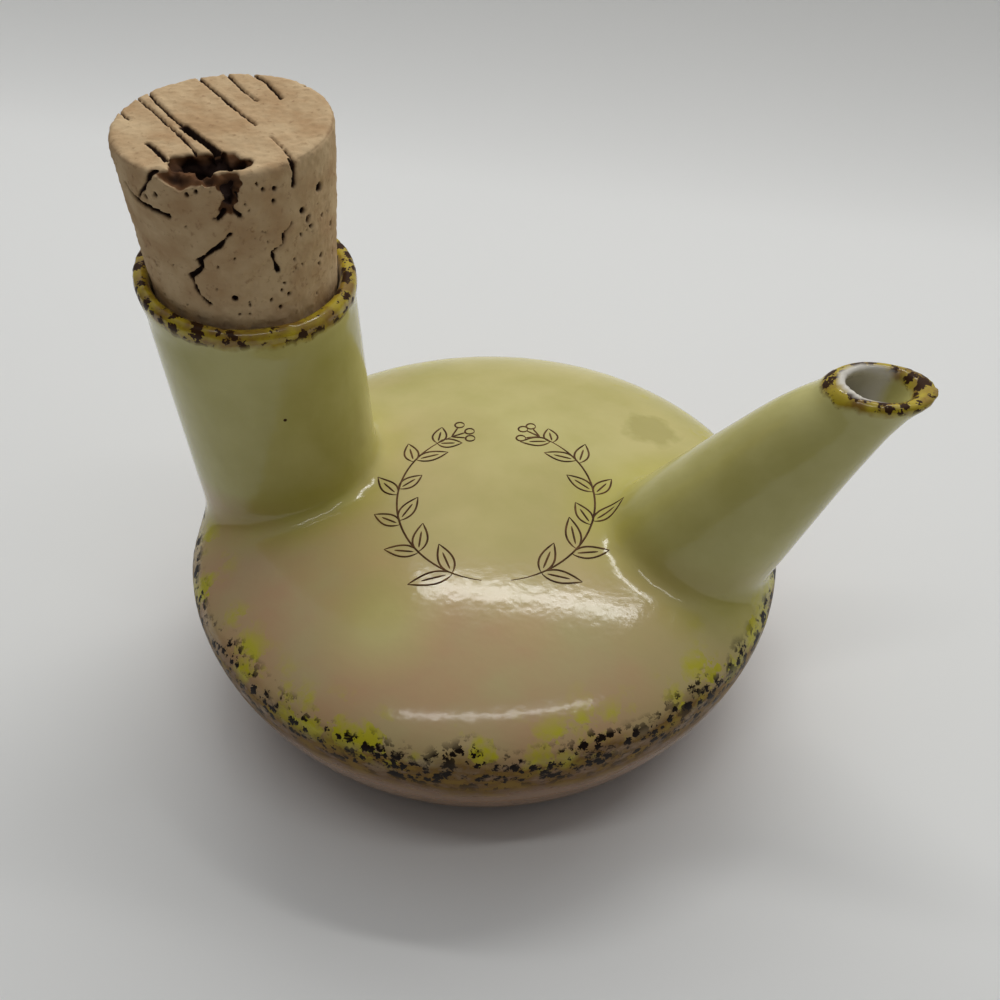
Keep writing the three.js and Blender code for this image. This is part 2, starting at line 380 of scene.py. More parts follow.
@dataclass(frozen=True)
class NeckForm(PipeForm):
    """The wide filling neck with its rolled lip, which tips a little towards the spout and the front."""

    offset: float = -36.3
    lean: float = -4.0
    length: float = 42.0
    foot_radius: float = 16.0
    end_radius: float = 17.2
    lip_radius: float = 17.8
    lip_round: float = 1.5
    lip_depth: float = 4.6
    collar_depth: float = 8.0
    throat_radius: float = 11.5
    tip_to_spout: float = 6.3
    tip_to_front: float = 1.7
    tip_depth: float = 14.0
    steps: int = 12
    round_steps: int = 6

    def outside(self, body: BodyForm) -> Object:
        """Throw the neck: a cone, a shallow groove, and a rolled lip."""
        collar = self.length - self.collar_depth
        lip = self.lip_radius - self.lip_round
        heights = [-self.sunk + (collar + self.sunk) * i / self.steps for i in range(self.steps + 1)]
        rings = [Ring(self.radius_at(s), s) for s in heights]
        rings.append(Ring(self.radius_at(self.length) - 0.25, self.length - self.lip_depth - 1.2))
        rings.append(Ring(self.radius_at(self.length) + 0.2, self.length - self.lip_depth + 0.8))
        rings += quarter(lip, self.length - self.lip_round, self.lip_round, -20, 90, self.round_steps)
        piece = throw("neck", rings, self.segments)
        start = self.length - self.tip_depth
        slant_top(piece, start, self.length, -self.tip_to_spout + self.lean, self.tip_to_front)
        return place(piece, self.frame(body))

    def throat(self, body: BodyForm, seat: float, seat_radius: float) -> Object:
        """Throw the space in the neck below the cork."""
        rings = [Ring(self.throat_radius, -self.sunk / 2), Ring(self.throat_radius, 0),
                 Ring(seat_radius, seat)]
        return place(throw("throat", rings, self.segments), self.frame(body))

    def rim_middle(self, body: BodyForm) -> Vector:
        """Middle of the rim in metres."""
        return self.frame(body) @ Vector((0, 0, mm(self.length)))

    def rim_normal(self) -> Vector:
        """Direction that the tipped rim faces."""
        tips = (math.tan(math.radians(a)) for a in (self.tip_to_spout, -self.tip_to_front))
        return Vector((*tips, 1)).normalized()


@dataclass(frozen=True)
class SpoutForm(PipeForm):
    """The slim pouring spout, with a slight waist below its level, flared tip."""

    offset: float = 37.7
    lean: float = 32.5
    length: float = 44.2
    foot_radius: float = 13.6
    end_radius: float = 6.1
    waist_below_tip: float = 4.0
    tip_radius: float = 7.1
    tip_round: float = 1.1
    bore_radius: float = 4.3
    bore_foot_radius: float = 9.2
    cut_start: float = 26.0
    pinch: float = 0.12
    tip_push: float = 1.1
    push_depth: float = 9.0
    steps: int = 14
    round_steps: int = 5

    def outside(self, body: BodyForm) -> Object:
        """Throw the spout and cut its tip level."""
        waist = self.length - self.waist_below_tip
        heights = [-self.sunk + (waist + self.sunk) * i / self.steps for i in range(self.steps + 1)]
        rings = [Ring(self.radius_at(s), s) for s in heights]
        rings += quarter(self.tip_radius - self.tip_round, self.length - self.tip_round, self.tip_round,
                         -10, 90,
                         self.round_steps)
        return self.level(throw("spout", rings, self.segments), body)

    def bore(self, body: BodyForm) -> Object:
        """Throw the space in the spout, from the body to just past the tip."""
        past = self.length + 2
        heights = [self.length * i / self.steps for i in range(self.steps)]
        slope = (self.bore_radius - self.bore_foot_radius) / self.length
        rings = [Ring(self.bore_foot_radius, -self.sunk / 2)]
        rings += [Ring(self.bore_foot_radius + slope * s, s) for s in heights]
        rings += [Ring(self.bore_radius, self.length - 0.8), Ring(self.bore_radius + 0.4, self.length)]
        rings.append(Ring(self.bore_radius + 0.6, past))
        return self.level(throw("spout_bore", rings, self.segments), body)

    def level(self, piece: Object, body: BodyForm) -> Object:
        """Pinch the upright form's top, push it out and slant it, so that it is level once it leans."""
        points = points_of(piece)
        points[:, 1] *= 1 - self.pinch * eased(points[:, 2], self.cut_start, self.length)
        points[:, 0] += self.tip_push * eased(points[:, 2], self.length - self.push_depth, self.length)
        move_points(piece, points)
        slant_top(piece, self.cut_start, self.length, self.lean)
        return place(piece, self.frame(body))

    def tip_middle(self, body: BodyForm) -> Vector:
        """Middle of the tip in metres."""
        return self.frame(body) @ Vector((0, 0, mm(self.length)))


# Finishes


@dataclass(frozen=True)
class GlazeFinish:
    """Stoneware dipped in a glossy celadon glaze, washed with tan and sponged with yellow and brown."""

    celadon: str = "#c9c27c"
    celadon_deep: str = "#b5ad60"
    wash: str = "#c09c72"
    wash_grey: str = "#bcab78"
    pool: str = "#b9b04a"
    underside: str = "#9a7350"
    sponge_yellow: str = "#bfb52a"
    sponge_brown: str = "#5e3c22"
    sponge_ochre: str = "#8f6f2c"
    sponge_black: str = "#1a0f08"
    lip_yellow: str = "#bba52a"
    lip_dark: str = "#3b2410"
    smudge: str = "#a49a52"
    inside: str = "#dcd7ca"
    clay: str = "#b79f7f"
    streak: tuple[float, float, float] = (-8.0, -33.0, 36.0)
    smudge_spot: tuple[float, float, float] = (28.3, 29.2, 39.2)
    pinhole: tuple[float, float, float] = (-29.0, -14.0, 58.4)
    wash_size: float = 34.0
    blotch_size: float = 4.6
    dab_size: float = 3.0
    speck_size: float = 1.3
    peel_size: float = 1.6
    peel_strength: float = 0.12
    wander_size: float = 9.0
    crowd_size: float = 15.0
    smear_scale: tuple[float, float, float] = (0.22, 0.22, 0.4)
    lip_ragged_size: float = 2.6
    lip_mottle_size: float = 3.0
    lip_dab_size: float = 1.9
    smudge_ragged_size: float = 3.5
    smudge_wander: float = 7.0
    # Heights at which a layer of the band starts, is full, fades and ends
    smear_heights: tuple[float, float, float, float] = (16.5, 20.5, 26.5, 29.0)
    yellow_heights: tuple[float, float, float, float] = (24.0, 28.0, 30.5, 33.0)
    speck_heights: tuple[float, float, float, float] = (20.0, 23.0, 28.6, 30.2)
    underside_full: float = 19.0
    underside_end: float = 24.0
    gloss: float = 0.13
    dry: float = 0.45
    dull: float = 0.8
    ior: float = 1.5

    def material(self, rim: Vector, rim_normal: Vector, tip: Vector) -> Material:
        """Make the glaze.

        Args:
            rim: Middle of the neck's rim in metres.
            rim_normal: Direction that the rim faces.
            tip: Middle of the spout's tip in metres.

        Returns:
            The finished material.
        """
        material, tree, shader = new_material("stoneware_celadon_glaze_dipped_and_sponged")
        add = partial(add_node, tree)
        point = point_in_mm(tree)
        axes = add("SeparateXYZ", {0: point}).outputs
        colour = self.washes(tree, point, axes)
        colour, crust_body = self.sponge_band(tree, point, axes, colour)
        colour, crust_rim = self.lips(tree, point, axes, colour, rim, rim_normal, tip)
        colour = self.smudges(tree, point, colour)
        inner = add("Attribute", attribute_name="inside").outputs["Fac"]
        colour = add("MixRGB", {"Fac": inner, "Color1": colour, "Color2": linear(self.inside)}).outputs[0]
        bare = add("MapRange", {"Value": axes[2], "From Min": 0.3, "From Max": 0.9, "To Min": 1.0,
                                "To Max": 0.0})
        bare = bare.outputs[0]
        colour = add("MixRGB", {"Fac": bare, "Color1": colour, "Color2": linear(self.clay)}).outputs[0]
        tree.links.new(colour, shader.inputs["Base Color"])
        crust = add("Math", {0: crust_body, 1: crust_rim}, operation="MAXIMUM").outputs[0]
        # Melted glass is nearly mirror-smooth, the sponged pigment a little drier and the bare clay dull
        rough = add("MapRange", {"Value": crust, "To Min": self.gloss, "To Max": self.dry}).outputs[0]
        rough = add("MixRGB", {"Fac": bare, "Color1": rough, "Color2": (*(self.dull,) * 3, 1)}).outputs[0]
        tree.links.new(rough, shader.inputs["Roughness"])
        shader.inputs["IOR"].default_value = self.ior
        shine = add("MapRange", {"Value": crust, "To Min": 0.5, "To Max": 0.12}).outputs[0]
        tree.links.new(shine, shader.inputs["Specular IOR Level"])
        peel = add("TexNoise", {"Vector": point, "Scale": 1 / self.peel_size, "Detail": 1.0}).outputs[0]
        lift = add("Math", {0: crust, 1: 0.6, 2: peel}, operation="MULTIPLY_ADD").outputs[0]
        bump = add("Bump", {"Height": lift, "Strength": self.peel_strength, "Distance": mm(0.25)})
        tree.links.new(bump.outputs[0], shader.inputs["Normal"])
        return material

    def washes(self, tree: NodeTree, point: NodeSocket, axes: Any) -> NodeSocket:
        """Lay the celadon, the tan washes over the dome's front and left, and the pools at the joints."""
        add = partial(add_node, tree)
        cloud = add("TexNoise", {"Vector": point, "Scale": 1 / self.wash_size, "Detail": 2.0}).outputs[0]
        veil = add("TexNoise", {"Vector": point, "Scale": 2.2 / self.wash_size, "Detail": 4.0}).outputs[0]
        depth = add("MapRange", {"Value": veil, "From Min": 0.35, "From Max": 0.7}).outputs[0]
        base = add("MixRGB", {"Fac": depth, "Color1": linear(self.celadon),
                              "Color2": linear(self.celadon_deep)})
        tan = add("MixRGB", {"Fac": depth, "Color1": linear(self.wash), "Color2": linear(self.wash_grey)})
        towards = add("VectorMath", {0: point, 1: (-0.006, -0.010, 0)},
                      operation="DOT_PRODUCT").outputs["Value"]
        lean = add("Math", {0: cloud, 1: towards}, operation="ADD").outputs[0]
        patch = add("MapRange", {"Value": lean, "From Min": 0.25, "From Max": 0.75, "To Min": 0.18})
        low = add("MapRange", {"Value": axes[2], "From Min": 36.5, "From Max": 42.0, "To Min": 1.0,
                               "To Max": 0.0})
        share = add("Math", {0: patch.outputs[0], 1: low.outputs[0]}, operation="MULTIPLY").outputs[0]
        # A green streak shows through the tan at the front left
        away = add("VectorMath", {0: point, 1: self.streak}, operation="DISTANCE").outputs["Value"]
        bare = add("MapRange", {"Value": away, "From Min": 3.0, "From Max": 12.0,
                                "To Min": 0.25}).outputs[0]
        share = add("Math", {0: share, 1: bare}, operation="MULTIPLY").outputs[0]
        colour = add("MixRGB",
                     {"Fac": share, "Color1": base.outputs[0], "Color2": tan.outputs[0]}).outputs[0]
        pool = add("Attribute", attribute_name="pool").outputs["Fac"]
        pool = add("Math", {0: pool, 1: veil}, operation="MULTIPLY").outputs[0]
        return add("MixRGB", {"Fac": pool, "Color1": colour, "Color2": linear(self.pool)}).outputs[0]

    def dabs(self, tree: NodeTree, point: NodeSocket, size: float, limit: float,
             blur: float = 0.06) -> NodeSocket:
        """Ragged dabs of a sponge.

        Args:
            tree: Node tree of the glaze.
            point: Place in millimetres.
            size: Distance between the dabs in millimetres.
            limit: Largest reach of a dab, as a share of that distance.
            blur: Width of a dab's edge, as a share of that distance.

        Returns:
            1 inside a dab and 0 outside.
        """
        add = partial(add_node, tree)
        ragged = add("TexNoise", {"Vector": point, "Scale": 3.2 / size, "Detail": 3.0}).outputs["Color"]
        shift = add("VectorMath", {0: ragged, 1: (0.5, 0.5, 0.5)}, operation="SUBTRACT").outputs[0]
        moved = add("VectorMath", {0: shift, 1: (size,) * 3, 2: point}, operation="MULTIPLY_ADD").outputs[0]
        cells = add("TexVoronoi", {"Vector": moved, "Scale": 1 / size})
        chance = add("SeparateXYZ", {0: cells.outputs["Color"]}).outputs[0]
        reach = add("Math", {0: chance, 1: limit}, operation="MULTIPLY").outputs[0]
        inside = add("Math", {0: reach, 1: cells.outputs["Distance"]}, operation="SUBTRACT").outputs[0]
        return add("MapRange", {"Value": inside, "From Min": 0.0, "From Max": blur}).outputs[0]

    def zone(self, tree: NodeTree, height: NodeSocket, start: float, full: float, fade: float,
             end: float) -> NodeSocket:
        """Share of a layer that comes in between two heights and goes out between two higher ones."""
        add = partial(add_node, tree)
        come = add("MapRange", {"Value": height, "From Min": start, "From Max": full}).outputs[0]
        leave = add("MapRange", {"Value": height, "From Min": end, "From Max": fade}).outputs[0]
        return add("Math", {0: come, 1: leave}, operation="MULTIPLY").outputs[0]

    def sponge_band(self, tree: NodeTree, point: NodeSocket, axes: Any,
                    colour: NodeSocket) -> tuple[NodeSocket, NodeSocket]:
        """Sponge the widest part: soft yellow above, brown smears below, black dabs where they meet."""
        add = partial(add_node, tree)
        wander = add("TexNoise", {"Vector": point, "Scale": 1 / self.wander_size, "Detail": 3.0}).outputs[0]
        height = add("Math", {0: wander, 1: 5.0, 2: axes[2]}, operation="MULTIPLY_ADD").outputs[0]
        height = add("Math", {0: height, 1: 2.5}, operation="SUBTRACT").outputs[0]
        links = {"Value": height, "From Min": self.underside_full, "From Max": self.underside_end}
        below = add("MapRange", {**links, "To Min": 1.0, "To Max": 0.0}).outputs[0]
        colour = add("MixRGB",
                     {"Fac": below, "Color1": colour, "Color2": linear(self.underside)}).outputs[0]
        # Brown smears, a little drawn out along the belly
        flat = add("Mapping", {"Vector": point, "Scale": self.smear_scale}).outputs[0]
        smear = add("TexNoise", {"Vector": flat, "Scale": 1.0, "Detail": 5.0, "Roughness": 0.65}).outputs[0]
        tint = add("MapRange", {"Value": smear, "From Min": 0.4, "From Max": 0.6}).outputs[0]
        tint = add("MixRGB", {"Fac": tint, "Color1": linear(self.sponge_brown),
                              "Color2": linear(self.sponge_ochre)})
        thick = add("MapRange", {"Value": smear, "From Min": 0.3, "From Max": 0.52,
                                 "To Min": 0.45}).outputs[0]
        zone = self.zone(tree, height, *self.smear_heights)
        share = add("Math", {0: zone, 1: thick}, operation="MULTIPLY").outputs[0]
        colour = add("MixRGB", {"Fac": share, "Color1": colour, "Color2": tint.outputs[0]}).outputs[0]
        # Yellow blotches
        blotch = self.dabs(tree, point, self.blotch_size, 0.95, 0.5)
        zone = self.zone(tree, height, *self.yellow_heights)
        yellow = add("Math", {0: zone, 1: blotch}, operation="MULTIPLY")
        links = {"Fac": yellow.outputs[0], "Color1": colour, "Color2": linear(self.sponge_yellow)}
        colour = add("MixRGB", links).outputs[0]
        # Black specks, with larger dabs where they crowd
        crowd = add("TexNoise", {"Vector": point, "Scale": 1 / self.crowd_size, "Detail": 2.0}).outputs[0]
        crowd = add("MapRange", {"Value": crowd, "From Min": 0.42, "From Max": 0.55}).outputs[0]
        large = self.dabs(tree, point, self.dab_size, 0.55)
        large = add("Math", {0: large, 1: crowd}, operation="MULTIPLY").outputs[0]
        sparse = add("MapRange", {"Value": smear, "From Min": 0.38, "From Max": 0.46}).outputs[0]
        small = add("Math", {0: self.dabs(tree, point, self.speck_size, 0.75), 1: sparse},
                    operation="MULTIPLY")
        dark = add("Math", {0: large, 1: small.outputs[0]}, operation="MAXIMUM").outputs[0]
        zone = self.zone(tree, height, *self.speck_heights)
        dark = add("Math", {0: zone, 1: dark}, operation="MULTIPLY").outputs[0]
        colour = add("MixRGB",
                     {"Fac": dark, "Color1": colour, "Color2": linear(self.sponge_black)}).outputs[0]
        return colour, add("Math", {0: dark, 1: share}, operation="MAXIMUM").outputs[0]

    def lips(self, tree: NodeTree, point: NodeSocket, axes: Any, colour: NodeSocket, rim: Vector,
             rim_normal: Vector, tip: Vector) -> tuple[NodeSocket, NodeSocket]:
        """Sponge the neck's rim and the spout's tip with ochre and dark brown dabs."""
        add = partial(add_node, tree)
        ragged = add("TexNoise", {"Vector": point, "Scale": 1 / self.lip_ragged_size,
                                  "Detail": 2.0}).outputs[0]
        level = add("VectorMath", {0: point, 1: tuple(rim_normal)},
                    operation="DOT_PRODUCT").outputs["Value"]
        level = add("Math", {0: level, 1: rim_normal.dot(rim) * MM_PER_M}, operation="SUBTRACT").outputs[0]
        level = add("Math", {0: ragged, 1: 2.5, 2: level}, operation="MULTIPLY_ADD").outputs[0]
        near_rim = add("MapRange", {"Value": level, "From Min": -2.2, "From Max": -1.0}).outputs[0]
        left = add("MapRange", {"Value": axes[0], "From Min": -5.0, "From Max": -10.0}).outputs[0]
        near_rim = add("Math", {0: near_rim, 1: left}, operation="MULTIPLY").outputs[0]
        rise = add("Math", {0: ragged, 1: 3.0, 2: axes[2]}, operation="MULTIPLY_ADD").outputs[0]
        top = tip.z * MM_PER_M
        near_tip = add("MapRange", {"Value": rise, "From Min": top - 0.6, "From Max": top + 0.4}).outputs[0]
        right = add("MapRange", {"Value": axes[0], "From Min": 30.0, "From Max": 35.0}).outputs[0]
        near_tip = add("Math", {0: near_tip, 1: right}, operation="MULTIPLY").outputs[0]
        zone = add("Math", {0: near_rim, 1: near_tip}, operation="MAXIMUM").outputs[0]
        mottle = add("TexNoise", {"Vector": point, "Scale": 1 / self.lip_mottle_size,
                                  "Detail": 3.0}).outputs[0]
        mottle = add("MapRange", {"Value": mottle, "From Min": 0.4, "From Max": 0.62}).outputs[0]
        ochre = add("MixRGB", {"Fac": mottle, "Color1": linear(self.lip_yellow),
                               "Color2": linear(self.sponge_ochre)})
        colour = add("MixRGB", {"Fac": zone, "Color1": colour, "Color2": ochre.outputs[0]}).outputs[0]
        dab = self.dabs(tree, point, self.lip_dab_size, 0.8)
        dark = add("Math", {0: zone, 1: dab}, operation="MULTIPLY").outputs[0]
        colour = add("MixRGB", {"Fac": dark, "Color1": colour, "Color2": linear(self.lip_dark)}).outputs[0]
        return colour, dark

    def smudges(self, tree: NodeTree, point: NodeSocket, colour: NodeSocket) -> NodeSocket:
        """Leave a faint olive smudge on the dome beside the spout, and a pinhole in the front of the neck."""
        add = partial(add_node, tree)
        ragged = add("TexNoise", {"Vector": point, "Scale": 1 / self.smudge_ragged_size,
                                  "Detail": 3.0}).outputs["Color"]
        shift = add("VectorMath", {0: ragged, 1: (self.smudge_wander,) * 3, 2: point},
                    operation="MULTIPLY_ADD").outputs[0]
        away = add("VectorMath", {0: shift, 1: self.smudge_spot}, operation="DISTANCE").outputs["Value"]
        share = add("MapRange", {"Value": away, "From Min": 3.5, "From Max": 6.0, "To Min": 0.6,
                                 "To Max": 0.0})
        colour = add("MixRGB",
                     {"Fac": share.outputs[0], "Color1": colour, "Color2": linear(self.smudge)}).outputs[0]
        away = add("VectorMath", {0: point, 1: self.pinhole}, operation="DISTANCE").outputs["Value"]
        hole = add("MapRange", {"Value": away, "From Min": 0.35, "From Max": 0.25}).outputs[0]
        return add("MixRGB", {"Fac": hole, "Color1": colour, "Color2": linear(self.lip_dark)}).outputs[0]


@dataclass(frozen=True)
class LineFinish:
    """Brown pigment drawn with a fine point and fired under the glaze."""

    pigment: str = "#452a12"
    thin_pigment: str = "#694a28"
    grain_size: float = 2.5

    def material(self) -> Material:
        """Make the line: dark where the point pressed, thinner between, glossy like the glaze over it."""
        material, tree, shader = new_material("iron_pigment_drawn_under_glaze")
        add = partial(add_node, tree)
        point = point_in_mm(tree)
        press = add("TexNoise", {"Vector": point, "Scale": 1 / self.grain_size, "Detail": 2.0}).outputs[0]
        press = add("MapRange", {"Value": press, "From Min": 0.4, "From Max": 0.65}).outputs[0]
        tint = add("MixRGB", {"Fac": press, "Color1": linear(self.pigment),
                              "Color2": linear(self.thin_pigment)})
        tree.links.new(tint.outputs[0], shader.inputs["Base Color"])
        shader.inputs["Roughness"].default_value = 0.4
        shader.inputs["Specular IOR Level"].default_value = 0.15
        shader.inputs["IOR"].default_value = 1.5
        return material


@dataclass(frozen=True)
class CorkFinish:
    """Natural cork, cut and ground: dry and mottled tan, reddish-brown in its chips, with painted shade in
    its pores, cracks and hollows.
    """

    pale: str = "#cfb48c"
    tan: str = "#b8976f"
    grain: str = "#94714f"
    # Reddish-brown of broken cork, which by following depth also paints shade into shallow dips
    chip_brown_and_shade: str = "#6e4a2c"
    # Near-black painted shade for the cracks, pores and deep hollows
    hollow: str = "#26140b"
    mottle_size: float = 5.0
    grain_size: float = 1.1

    def material(self) -> Material:
        """Make the cork: soft mottling, fine grain, reddish-brown chips, and painted shade that darkens
        cracks, pores and hollows with their depth.
        """
        material, tree, shader = new_material("natural_cork_cut_and_ground")
        add = partial(add_node, tree)
        point = point_in_mm(tree)
        mottle = add("TexNoise", {"Vector": point, "Scale": 1 / self.mottle_size, "Detail": 4.0}).outputs[0]
        mottle = add("MapRange", {"Value": mottle, "From Min": 0.35, "From Max": 0.68}).outputs[0]
        colour = add("MixRGB",
                     {"Fac": mottle, "Color1": linear(self.pale), "Color2": linear(self.tan)}).outputs[0]
        grain = add("TexNoise", {"Vector": point, "Scale": 1 / self.grain_size, "Detail": 4.0,
                                 "Roughness": 0.6})
        specks = add("MapRange", {"Value": grain.outputs[0], "From Min": 0.58, "From Max": 0.75,
                                  "To Max": 0.75})
        colour = add("MixRGB",
                     {"Fac": specks.outputs[0], "Color1": colour, "Color2": linear(self.grain)}).outputs[0]
        depth = add("Attribute", attribute_name="hollow").outputs["Fac"]
        # Reddish-brown of the broken cork in the chips; as it follows depth it is also painted shade in the
        # pits, cracks and dips of the roughened skin
        chip_brown_and_shade = add("MapRange", {"Value": depth, "From Min": 0.2, "From Max": 0.6}).outputs[0]
        colour = add("MixRGB", {"Fac": chip_brown_and_shade, "Color1": colour, "Color2": linear(self.chip_brown_and_shade)}).outputs[0]
        # Painted shade: near-black in the carved cracks and pores and in hollows deeper than 0.7 mm
        crack = add("Attribute", attribute_name="crack").outputs["Fac"]
        crack = add("MapRange", {"Value": crack, "From Min": 0.1, "From Max": 0.55}).outputs[0]
        dark = add("MapRange", {"Value": depth, "From Min": 0.7, "From Max": 2.0}).outputs[0]
        dark = add("Math", {0: dark, 1: crack}, operation="MAXIMUM").outputs[0]
        colour = add("MixRGB", {"Fac": dark, "Color1": colour, "Color2": linear(self.hollow)}).outputs[0]
        tree.links.new(colour, shader.inputs["Base Color"])
        shader.inputs["Roughness"].default_value = 0.85
        shader.inputs["Specular IOR Level"].default_value = 0.25
        bump = add("Bump", {"Height": grain.outputs[0], "Strength": 0.35, "Distance": mm(0.3)})
        tree.links.new(bump.outputs[0], shader.inputs["Normal"])
        return material


@dataclass(frozen=True)
class PaperFinish:
    """Matt white sweep of paper."""

    white: str = "#ebebe8"

    def material(self) -> Material:
        """Make the paper: nearly white, dull, with a faint unevenness."""
        material, tree, shader = new_material("matt_white_paper")
        spot = add_node(tree, "TexCoord").outputs["Object"]
        cloud = add_node(tree, "TexNoise", {"Vector": spot, "Scale": 1 / 0.15, "Detail": 2.0}).outputs[0]
        shade = add_node(tree, "MapRange", {"Value": cloud, "To Min": 0.96, "To Max": 1.0}).outputs[0]
        links = {"Fac": 1.0, "Color1": linear(self.white), "Color2": shade}
        colour = add_node(tree, "MixRGB", links, blend_type="MULTIPLY").outputs[0]
        tree.links.new(colour, shader.inputs["Base Color"])
        shader.inputs["Roughness"].default_value = 0.7
        shader.inputs["Specular IOR Level"].default_value = 0.2
        return material


# Pieces


@dataclass
class Vessel:
    """The fired vessel: body, neck and spout joined into one hollow piece."""

    body: BodyForm = field(default_factory=BodyForm)
    neck: NeckForm = field(default_factory=NeckForm)
    spout: SpoutForm = field(default_factory=SpoutForm)
    finish: GlazeFinish = field(default_factory=GlazeFinish)
    clay_step: float = 0.87
    joint_core: float = 2.0
    joint_reach: float = 6.5
    joint_rubs: int = 36
    skin_rubs: int = 8

    def build(self, cork: "Cork") -> Object:
        """Throw, join, hollow and smooth the vessel.

        Args:
            cork: The cork that its neck has to seat.

        Returns:
            The vessel, not yet dressed.
        """
        vessel = throw("glazed_vessel", self.body.rings(), self.body.segments)
        combine(vessel, self.neck.outside(self.body), Cut.JOIN)
        combine(vessel, self.spout.outside(self.body), Cut.JOIN)
        inside = throw("cavity", self.body.rings(self.body.wall, self.body.floor), self.body.segments)
        seat = self.neck.length - cork.pushed_in
        combine(inside, self.neck.throat(self.body, seat, cork.radius_at(-cork.pushed_in)), Cut.JOIN)
        combine(inside, cork.seat(self.neck, self.body), Cut.JOIN)
        combine(inside, self.spout.bore(self.body), Cut.JOIN)
        combine(vessel, inside, Cut.HOLLOW)
        modify(vessel, "REMESH", mode="VOXEL", voxel_size=mm(self.clay_step), adaptivity=0.0)
        self.rub_joints(vessel)
        return vessel

    def rub_joints(self, vessel: Object) -> None:
        """Smooth the clay where the pipes join the body, and then the whole skin a little."""
        away = self.joint_distance(points_of(vessel))
        group = vessel.vertex_groups.new(name="joints")
        shares = 1 - eased(away, self.joint_core, self.joint_reach)
        for index in np.nonzero(away < self.joint_reach)[0]:
            group.add([int(index)], float(shares[index]), "REPLACE")
        modify(vessel, "SMOOTH", factor=0.5, iterations=self.joint_rubs, vertex_group="joints")
        modify(vessel, "SMOOTH", factor=0.5, iterations=self.skin_rubs)
        vessel.vertex_groups.clear()
        choose(vessel)
        bpy.ops.object.shade_smooth()

    def joint_distance(self, points: np.ndarray) -> np.ndarray:
        """Distance of points from the nearer joint, in millimetres."""
        joints = (pipe.joint_distance(points, self.body) for pipe in (self.neck, self.spout))
        return np.minimum(*joints)

    def dress(self, vessel: Object, cork: "Cork") -> None:
        """Mark where glaze pools and where the inside starts, and glaze the vessel."""
        points = points_of(vessel)
        mark(vessel, "pool", 1 - eased(self.joint_distance(points), 1.0, 9.0))
        mark(vessel, "inside", self.insideness(points, cork))
        rim = self.neck.rim_middle(self.body)
        tip = self.spout.tip_middle(self.body)
        vessel.data.materials.clear()
        vessel.data.materials.append(self.finish.material(rim, self.neck.rim_normal(), tip))
        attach(vessel, ROOT_BODY)
        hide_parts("vessel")

    def insideness(self, points: np.ndarray, cork: "Cork") -> np.ndarray:
        """1 for points on the walls of the bores and the cavity, 0 for points outside."""
        across, height = self.spout.local(points, self.body)
        share = np.clip(height / self.spout.length, 0, 1)
        bore = self.spout.bore_foot_radius + (self.spout.bore_radius - self.spout.bore_foot_radius) * share
        in_spout = (1 - eased(across - bore, -0.1, 0.4)) * (height > 0)
        across, height = self.neck.local(points, self.body)
        in_neck = (1 - eased(across - cork.mouth_radius, -0.2, 0.6)) * (height > 0)
        in_body = 1 - eased(self.body.skin_distance(points), -3.2, -2.2)
        in_pipes = np.minimum(1, in_spout + in_neck)
        return np.where(self.body.skin_distance(points) > -1.0, in_pipes, np.maximum(in_pipes, in_body))


@dataclass(frozen=True)
class Crack:
    """A crack along a line of points, with its width and depth in millimetres."""

    line: tuple[tuple[float, float], ...]
    width: float
    depth: float


